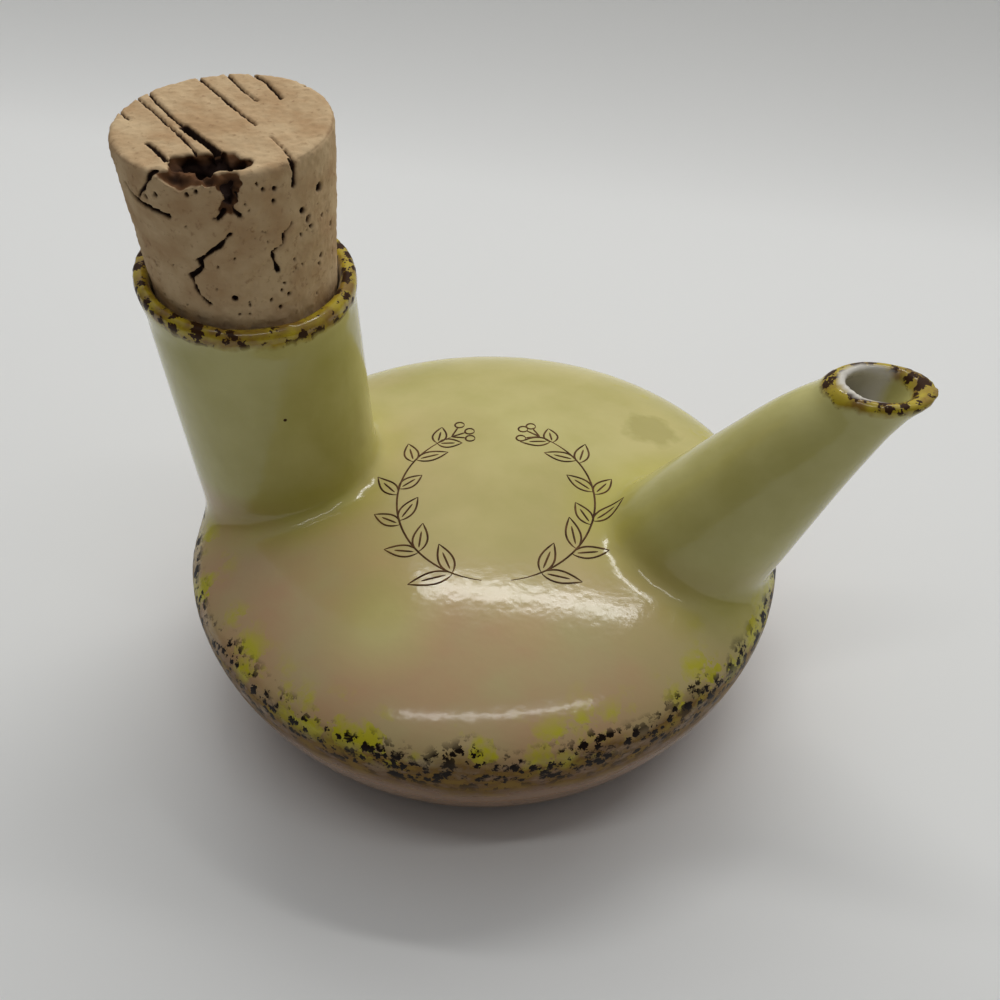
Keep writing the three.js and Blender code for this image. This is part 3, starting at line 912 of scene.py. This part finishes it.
@dataclass
class Cork:
    """The tapered natural cork, chipped, cracked and pitted, measured from the middle of the rim."""

    top_radius: float = 16.85
    mouth_radius: float = 14.8
    stands_out: float = 24.9
    pushed_in: float = 13.0
    edge_round: float = 0.9
    clearance: float = 0.4
    flare: float = 1.6
    segments: int = 96
    grain_step: float = 0.28
    finish: CorkFinish = field(default_factory=CorkFinish)
    seed: int = 7
    pit_count: int = 60

    # Cracks in the cut top, as (x, y) points from its middle
    top_cracks: tuple[Crack, ...] = (
        Crack(((-16.4, 4.8), (-10.0, -0.6), (-4.2, -5.5), (0.0, -9.5)), 0.55, 1.2),
        Crack(((-15.2, 6.6), (-12.4, 3.6), (-7.3, -0.9), (-4.8, -2.7)), 0.7, 1.3),
        Crack(((-5.0, -2.6), (-1.0, -5.6), (4.3, -9.7)), 1.5, 3.2),
        Crack(((-9.8, 13.2), (-1.2, 5.7), (5.3, 0.1)), 0.65, 1.3),
        Crack(((8.7, -2.6), (12.2, -5.9), (14.6, -8.6)), 0.5, 1.0),
        Crack(((-6.3, 15.8), (-2.6, 12.1), (-0.5, 10.0), (2.5, 7.6)), 0.6, 1.1),
        Crack(((-2.1, 16.4), (1.5, 13.8), (5.9, 9.1)), 0.85, 1.5),
        Crack(((-16.8, -0.3), (-13.5, -2.8)), 0.5, 0.9),
        Crack(((-8.1, -8.6), (-5.9, -10.3), (-3.1, -12.7)), 0.9, 1.3),
    )
    # Cracks down the side, as (turn in degrees, height) points
    side_cracks: tuple[Crack, ...] = (
        Crack(((-101, 25.0), (-105, 24.0), (-110, 22.0), (-118, 19.5)), 0.8, 0.9),
        Crack(((-130, 20.2), (-125, 19.5), (-119, 18.5), (-109, 18.1), (-99, 17.6)), 1.0, 1.0),
        Crack(((-68, 15.1), (-75, 13.0), (-87, 10.6), (-86, 9.2), (-94, 7.3)), 0.8, 1.0),
        Crack(((-94, 7.3), (-92, 4.0), (-86, 2.5)), 0.7, 0.9),
        Crack(((-34, 14.8), (-39, 13.5), (-40, 11.8), (-47, 11.0), (-46, 9.1), (-44, 7.3)), 0.7, 0.9),
        Crack(((-62, 22.6), (-63, 20.6), (-67, 20.0), (-69, 19.0), (-72, 18.0)), 1.0, 1.2),
        Crack(((-66, 20.0), (-61, 18.1)), 0.7, 0.8),
        Crack(((-31, 25.0), (-30, 22.6), (-31, 20.7)), 0.7, 0.9),
        Crack(((60, 25.0), (64, 20.0), (58, 16.0), (66, 11.0)), 0.8, 1.0),
        Crack(((150, 18.0), (158, 14.0), (152, 9.0), (160, 5.0)), 0.7, 0.9),
        Crack(((105, 8.0), (112, 5.5), (108, 2.0)), 0.7, 0.8),
    )

    # Pores of the front, as (turn in degrees, height, width)
    pores: tuple[tuple[float, float, float], ...] = (
        (-12, 18, 2.2), (-26, 16, 1.6), (-23, 14, 1.3), (-48, 22, 1.0), (-51, 23, 0.9), (-42, 21.5, 1.0),
        (-43, 19.5, 1.1), (-58, 20, 1.0), (-81, 22.5, 1.3), (-86, 22, 1.0), (2, 9.5, 1.2), (-20, 12.5, 1.0),
        (-28, 12, 0.8), (-71, 3.5, 1.5), (-77, 9.5, 0.9), (-43, 3.5, 0.9), (-39, 2.5, 0.9), (-45, 0.5, 1.0),
        (-70, 0.5, 0.8), (-64, 0.5, 0.8), (-11, 6, 1.2), (4, 4, 1.0), (-104, 21, 1.2), (-112, 20, 1.4),
    )

    def radius_at(self, height: np.ndarray | float) -> np.ndarray | float:
        """Radius of the plain cork at a height above the rim."""
        return self.mouth_radius + (self.top_radius - self.mouth_radius) * height / self.stands_out

    def seat(self, neck: NeckForm, body: BodyForm) -> Object:
        """Throw the space that the cork takes in the neck, opening in the tipped rim."""
        foot = -self.pushed_in - 1
        flare = quarter(self.radius_at(-self.flare) + self.clearance + self.flare, -self.flare, self.flare,
                        180, 90, neck.round_steps)
        rings = [Ring(self.radius_at(foot) + self.clearance, foot), *flare, Ring(flare[-1].radius, 3.0)]
        piece = throw("cork_seat", rings, neck.segments)
        slant_top(piece, foot, 0, -neck.tip_to_spout, neck.tip_to_front)
        return place(piece, Matrix.Translation(neck.rim_middle(body)))

    def build(self, middle: Vector) -> Object:
        """Turn the cork, break its edge, carve its cracks and pits, and set it in the neck.

        Args:
            middle: Middle of the neck's rim in metres.

        Returns:
            The cork, not yet dressed.
        """
        edge = self.stands_out - self.edge_round
        rings = [Ring(self.radius_at(-self.pushed_in), -self.pushed_in), Ring(self.radius_at(edge), edge)]
        rings += quarter(self.radius_at(edge) - self.edge_round, edge, self.edge_round, 15, 90, 5)
        cork = throw("natural_cork", rings, self.segments)
        for spot, size, turn in self.chips():
            combine(cork, self.lump(spot, size, turn), Cut.HOLLOW)
        modify(cork, "REMESH", mode="VOXEL", voxel_size=mm(self.grain_step), adaptivity=0.0)
        modify(cork, "SMOOTH", factor=0.5, iterations=2)
        plain = points_of(cork)
        carved = self.carved(plain)
        move_points(cork, carved)
        # Depth of the carved cracks and pores, which the finish turns into painted shade
        mark(cork, "crack", np.linalg.norm(carved - plain, axis=1))
        roughen(cork, 7.0, 0.6)
        roughen(cork, 1.0, 0.3)
        choose(cork)
        bpy.ops.object.shade_smooth()
        # Depth below the plain cork, which the finish turns into chip brown and painted shade
        mark(cork, "hollow", self.depth_below_skin(points_of(cork)))
        return place(cork, Matrix.Translation(middle))

    def chips(self) -> list[tuple[Vector, Vector, float]]:
        """Lumps that are broken out of the front edge: place, half sizes and turn in degrees."""
        top = self.stands_out
        return [
            (Vector((3.2, -11.4, top)), Vector((5.6, 2.9, 5.0)), 10.0),
            (Vector((2.4, -16.6, top + 0.3)), Vector((6.6, 4.0, 2.2)), 8.0),
            (Vector((6.9, -14.8, top - 3.0)), Vector((1.5, 3.0, 3.6)), 20.0),
        ]

    def lump(self, spot: Vector, size: Vector, turn: float) -> Object:
        """Make a ragged lump to cut away, with its place and half sizes in millimetres."""
        bpy.ops.object.select_all(action="DESELECT")
        bpy.ops.mesh.primitive_ico_sphere_add(subdivisions=5, radius=1)
        piece = bpy.context.object
        scale = Matrix.Diagonal((*(size / MM_PER_M), 1))
        place(piece, Matrix.Translation(spot / MM_PER_M) @ Matrix.Rotation(math.radians(turn), 4,
                                                                           "Z") @ scale)
        roughen(piece, 1.8, 4.5, 3)
        return piece

    def carved(self, points: np.ndarray) -> np.ndarray:
        """Push the skin in along the cracks and pits.

        Args:
            points: Vertices of the plain cork in millimetres.

        Returns:
            The same vertices, moved.
        """
        across = np.hypot(points[:, 0], points[:, 1])
        turn = np.degrees(np.arctan2(points[:, 1], points[:, 0]))
        skin = self.radius_at(points[:, 2])
        on_side = eased(across - skin, -1.2, -0.6)
        on_top = eased(points[:, 2] - self.stands_out, -1.2, -0.6)
        wave = np.sin(points[:, 0] * 3.1) * np.cos(points[:, 1] * 2.7) + np.sin(points[:, 2] * 2.3)
        down = np.zeros(len(points))
        for crack in self.top_cracks:
            away = self.line_distance(points[:, :2], np.array(crack.line))
            down = np.maximum(down, self.groove(away + 0.08 * wave, crack))
        inward = np.zeros(len(points))
        arc = math.radians(1) * self.mouth_radius
        unrolled = np.stack([turn * arc, points[:, 2]], 1)
        for crack in self.side_cracks:
            line = np.array(crack.line) * (arc, 1)
            away = self.line_distance(unrolled, line)
            inward = np.maximum(inward, self.groove(away + 0.1 * wave, crack))
        for spot, pit in self.pits(arc):
            away = np.hypot((unrolled[:, 0] - spot[0]) * 1.25, unrolled[:, 1] - spot[1])
            inward = np.maximum(inward, self.groove(away + 0.07 * wave, pit))
        moved = points.copy()
        moved[:, 2] -= down * on_top
        moved[:, :2] *= (1 - inward * on_side / np.maximum(across, 1))[:, None]
        return moved

    def pits(self, arc: float) -> list[tuple[tuple[float, float], Crack]]:
        """Pores of the side with their unrolled place, width and depth; the back's and faint ones by lot."""
        draw = random.Random(self.seed)
        spots = list(self.pores)
        for _ in range(self.pit_count):
            height = draw.uniform(-1, self.stands_out - 1)
            spots.append((draw.uniform(15, 225), height, draw.choice((0.6, 0.7, 0.9, 1.3))))
            spots.append((draw.uniform(-130, 10), height, 0.5))
        return [
            ((((turn + 180) % 360 - 180) * arc, height), Crack((), width, 0.3 + 0.5 * width))
            for turn, height, width in spots
        ]

    def groove(self, away: np.ndarray, crack: Crack) -> np.ndarray:
        """Depth of a crack or pit at a distance from its middle line."""
        return crack.depth * (1 - eased(away, 0.1 * crack.width, 0.5 * crack.width))

    def line_distance(self, spots: np.ndarray, line: np.ndarray) -> np.ndarray:
        """Distance of flat points from a line of straight pieces."""
        nearest = np.full(len(spots), 1e9)
        for start, end in zip(line, line[1:]):
            run = end - start
            share = np.clip((spots - start) @ run / (run @ run), 0, 1)
            nearest = np.minimum(nearest, np.linalg.norm(spots - start - share[:, None] * run, axis=1))
        return nearest

    def depth_below_skin(self, points: np.ndarray) -> np.ndarray:
        """How far each point lies below the plain cork's surface, in millimetres."""
        side = self.radius_at(points[:, 2]) - np.hypot(points[:, 0], points[:, 1])
        ends = np.minimum(self.stands_out - points[:, 2], points[:, 2] + self.pushed_in)
        return np.minimum(side, ends)

    def dress(self, cork: Object) -> None:
        """Give the cork its finish and its place in the frame."""
        cork.data.materials.clear()
        cork.data.materials.append(self.finish.material())
        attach(cork, ROOT_BODY)
        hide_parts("cork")


@dataclass
class LeafDrawing:
    """A wreath of two leafy sprigs, drawn on the dome with a fine brown line."""

    middle: tuple[float, float] = (3.0, -3.0)
    turn: float = 15.0
    radius: float = 17.0
    sprig_start: float = -82.0
    sprig_end: float = 62.0
    leaf_count: int = 6
    leaf_length: float = 6.6
    leaf_width: float = 2.5
    leaf_spread: float = 42.0
    berry_radius: float = 0.85
    line_radius: float = 0.23
    sunk: float = 0.1
    above: float = 60.0
    stretch: float = 1.12
    seed: int = 11
    finish: LineFinish = field(default_factory=LineFinish)

    def strokes(self) -> list[list[Vector]]:
        """Flat strokes of the wreath about its own middle, in millimetres."""
        draw = random.Random(self.seed)
        found = []
        for side in (-1, 1):
            arc = [self.sprig_start + (self.sprig_end - self.sprig_start) * i / 40 for i in range(41)]
            found.append([self.on_arc(angle, side) for angle in arc])
            for i in range(self.leaf_count):
                share = (i + 0.7) / self.leaf_count
                angle = self.sprig_start + (self.sprig_end - self.sprig_start) * share
                for way in (-1, 1):
                    size = self.leaf_length * draw.uniform(0.85, 1.1) * (1.1 - 0.35 * share)
                    found += self.leaf(angle + draw.uniform(-3, 3), side, way, size)
            found += self.berries(side, draw)
        return found

    def on_arc(self, angle: float, side: int) -> Vector:
        """Point of a sprig's stem at an angle in degrees from its start."""
        a = math.radians(angle)
        return Vector((side * self.radius * math.cos(a), self.radius * self.stretch * math.sin(a)))

    def leaf(self, angle: float, side: int, way: int, size: float) -> list[list[Vector]]:
        """Outline and midrib of one leaf, growing out of or into the wreath."""
        foot = self.on_arc(angle, side)
        ahead = (self.on_arc(angle + 1, side) - foot).normalized()
        grow = ahead.copy()
        grow.rotate(Matrix.Rotation(math.radians(way * self.leaf_spread), 2))
        across = Vector((-grow.y, grow.x))
        edge = []
        for i in range(21):
            share = i / 20
            bow = self.leaf_width / 2 * math.sin(math.pi * share ** 0.8)
            edge.append((share * size, bow))
        left = [foot + grow * run + across * bow for run, bow in edge]
        right = [foot + grow * run - across * bow for run, bow in edge]
        rib = [foot + grow * size * (0.15 + 0.55 * i / 8) for i in range(9)]
        return [left, right, rib]

    def berries(self, side: int, draw: random.Random) -> list[list[Vector]]:
        """Small open rings on short stalks at the end of a sprig."""
        found = []
        end = self.on_arc(self.sprig_end, side)
        for spread in (-38, 0, 38):
            grow = (end - self.on_arc(self.sprig_end - 2, side)).normalized()
            grow.rotate(Matrix.Rotation(math.radians(spread + draw.uniform(-6, 6)), 2))
            reach = draw.uniform(2.4, 3.2)
            found.append([end + grow * reach * i / 6 for i in range(7)])
            heart = end + grow * (reach + self.berry_radius)
            ring = [math.radians(a) for a in range(0, 361, 24)]
            found.append([heart + self.berry_radius * Vector((math.cos(a), math.sin(a))) for a in ring])
        return found

    def build(self, vessel: Object) -> Object:
        """Draw the strokes as thin raised lines that lie on the vessel.

        Args:
            vessel: The vessel to draw on.

        Returns:
            The drawing, not yet dressed.
        """
        curve = bpy.data.curves.new("leaf_drawing", "CURVE")
        curve.dimensions = "3D"
        curve.bevel_depth = mm(self.line_radius)
        curve.bevel_resolution = 1
        curve.use_fill_caps = True
        turn = Matrix.Rotation(math.radians(self.turn), 2)
        for stroke in self.strokes():
            flat = [turn @ spot + Vector(self.middle) for spot in stroke]
            spline = curve.splines.new("POLY")
            spline.points.add(len(flat) - 1)
            for i, (point, spot) in enumerate(zip(spline.points, flat)):
                point.co = (*self.on_vessel(vessel, spot), 1)
                share = i / (len(flat) - 1)
                point.radius = 0.55 + 0.45 * min(1, 6 * min(share, 1 - share))
        drawing = bpy.data.objects.new("leaf_drawing", curve)
        bpy.context.scene.collection.objects.link(drawing)
        choose(drawing)
        bpy.ops.object.convert(target="MESH")
        bpy.ops.object.shade_smooth()
        return bpy.context.object

    def on_vessel(self, vessel: Object, spot: Vector) -> Vector:
        """Place of a flat point on the vessel, sunk a little into the glaze, in metres."""
        high = Vector((mm(spot.x), mm(spot.y), mm(self.above)))
        _, place_hit, normal, _ = vessel.ray_cast(high, Vector((0, 0, -1)))
        return place_hit - normal * mm(self.sunk)

    def dress(self, drawing: Object) -> None:
        """Give the lines their pigment and their place in the frame."""
        drawing.data.materials.clear()
        drawing.data.materials.append(self.finish.material())
        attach(drawing, ROOT_BODY)


# Stage


@dataclass
class Studio:
    """A white paper sweep, two overhead strips, soft light from above and behind, and the camera."""

    finish: PaperFinish = field(default_factory=PaperFinish)
    half_width: float = 700.0
    front: float = -600.0
    bend_start: float = 165.0
    bend_radius: float = 130.0
    bend_angle: float = 75.0
    bend_steps: int = 24
    lens: float = 50.4
    sensor: float = 36.0
    distance: float = 245.6
    azimuth: float = 15.22
    pitch: float = 42.06
    roll: float = -0.70
    target_right: float = 2.81
    target_height: float = 35.15
    sky_tint: str = "#fbfcff"
    sky_facing: tuple[float, float, float] = (0, 0.55, 0.83)
    sky_edge: float = -0.1
    sky_dim: float = 0.03
    sky_bright: float = 0.52

    def build(self) -> None:
        """Make the floor, the lights and the camera."""
        self.paper()
        self.strip("strip_behind", (-0.02, 0.43, 0.90), (0.62, 0.055), 14.0)
        self.strip("strip_front", (0.09, -0.23, 0.97), (0.74, 0.06), 7.0)
        panel = self.strip("panel_behind", (0.0, 0.62, 0.46), (1.2, 0.5), 1.8)
        # The photo's room light comes from all over the ceiling and leaves no edge in the glaze
        panel.visible_glossy = False
        self.sky()
        self.camera()

    def paper(self) -> None:
        """Bend a sheet of paper up behind the object, in one piece with the floor."""
        bpy.ops.object.select_all(action="DESELECT")
        bpy.ops.mesh.primitive_plane_add(size=1)
        floor = bpy.context.object
        floor.name = "paper_sweep"
        depth = self.bend_start - self.front
        middle = Vector((0, mm(self.bend_start - depth / 2), 0))
        place(floor, Matrix.Translation(middle) @ Matrix.Diagonal((mm(2 * self.half_width), mm(depth),
                                                                   1, 1)))
        bpy.ops.object.mode_set(mode="EDIT")
        bpy.ops.mesh.select_all(action="DESELECT")
        bpy.ops.object.mode_set(mode="OBJECT")
        for edge in floor.data.edges:
            edge.select = all(floor.data.vertices[v].co.y > mm(self.bend_start) - 1e-4 for v in edge.vertices)
        bpy.ops.object.mode_set(mode="EDIT")
        bpy.ops.mesh.select_mode(type="EDGE")
        for i in range(self.bend_steps):
            angles = [math.radians(self.bend_angle) * (i + k) / self.bend_steps for k in (0, 1)]
            run = mm(self.bend_radius) * (math.sin(angles[1]) - math.sin(angles[0]))
            rise = mm(self.bend_radius) * (math.cos(angles[0]) - math.cos(angles[1]))
            bpy.ops.mesh.extrude_region_move(TRANSFORM_OT_translate={"value": (0, run, rise)})
        bpy.ops.object.mode_set(mode="OBJECT")
        bpy.ops.object.shade_smooth()
        floor.data.materials.append(self.finish.material())

    def strip(self, name: str, place_m: tuple[float, float, float], size: tuple[float, float],
              glow: float) -> Object:
        """Hang a flat light that faces the object and glows this many times as bright as white."""
        bpy.ops.object.light_add(type="AREA", location=place_m)
        lamp = bpy.context.object
        lamp.name = name
        lamp.data.shape = "RECTANGLE"
        lamp.data.size, lamp.data.size_y = size
        lamp.data.energy = glow * math.pi * size[0] * size[1]
        lamp.rotation_mode = "QUATERNION"
        lamp.rotation_quaternion = (-Vector(place_m)).to_track_quat("-Z", "Y")
        return lamp

    def sky(self) -> None:
        """Fill the room with soft light, strongest from above and behind."""
        world = bpy.data.worlds.new("soft_room")
        bpy.context.scene.world = world
        world.use_nodes = True
        tree = world.node_tree
        tree.nodes.clear()
        way = add_node(tree, "TexCoord").outputs["Generated"]
        facing = add_node(tree, "VectorMath", {0: way, 1: self.sky_facing}, operation="DOT_PRODUCT")
        links = {"Value": facing.outputs["Value"], "From Min": self.sky_edge, "From Max": 1.0,
                 "To Min": self.sky_dim, "To Max": self.sky_bright}
        strength = add_node(tree, "MapRange", links).outputs[0]
        light = add_node(tree, "Background",
                         {"Color": linear(self.sky_tint), "Strength": strength}).outputs[0]
        add_node(tree, "OutputWorld", {"Surface": light})

    def camera(self) -> None:
        """Set the camera at the photo's viewing angle."""
        turn = Matrix.Rotation(math.radians(self.azimuth), 3, "Z")
        pitch = math.radians(self.pitch)
        view = turn @ Vector((0, math.cos(pitch), -math.sin(pitch)))
        target = turn @ Vector((mm(self.target_right), 0, mm(self.target_height)))
        bpy.ops.object.camera_add(location=target - view * mm(self.distance))
        camera = bpy.context.object
        camera.rotation_mode = "QUATERNION"
        roll = Quaternion((0, 0, 1), math.radians(self.roll))
        camera.rotation_quaternion = view.to_track_quat("-Z", "Y") @ roll
        camera.data.lens = self.lens
        camera.data.sensor_width = self.sensor
        camera.data.clip_start = 0.01
        bpy.context.scene.camera = camera
        bpy.context.scene.view_settings.view_transform = "Standard"


def report(piece: Object) -> None:
    """Log a finished piece with its number of triangles."""
    piece.data.calc_loop_triangles()
    log.info("%s: %d triangles", piece.name, len(piece.data.loop_triangles))


def main() -> None:
    """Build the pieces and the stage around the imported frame."""
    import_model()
    logging.basicConfig(level=logging.INFO, format="%(name)s: %(message)s")
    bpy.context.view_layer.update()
    Studio().build()
    vessel_maker, cork_maker, drawing_maker = Vessel(), Cork(), LeafDrawing()
    vessel = vessel_maker.build(cork_maker)
    vessel_maker.dress(vessel, cork_maker)
    report(vessel)
    drawing = drawing_maker.build(vessel)
    drawing_maker.dress(drawing)
    report(drawing)
    cork = cork_maker.build(vessel_maker.neck.rim_middle(vessel_maker.body))
    cork_maker.dress(cork)
    report(cork)


if __name__ == "__main__":
    main()
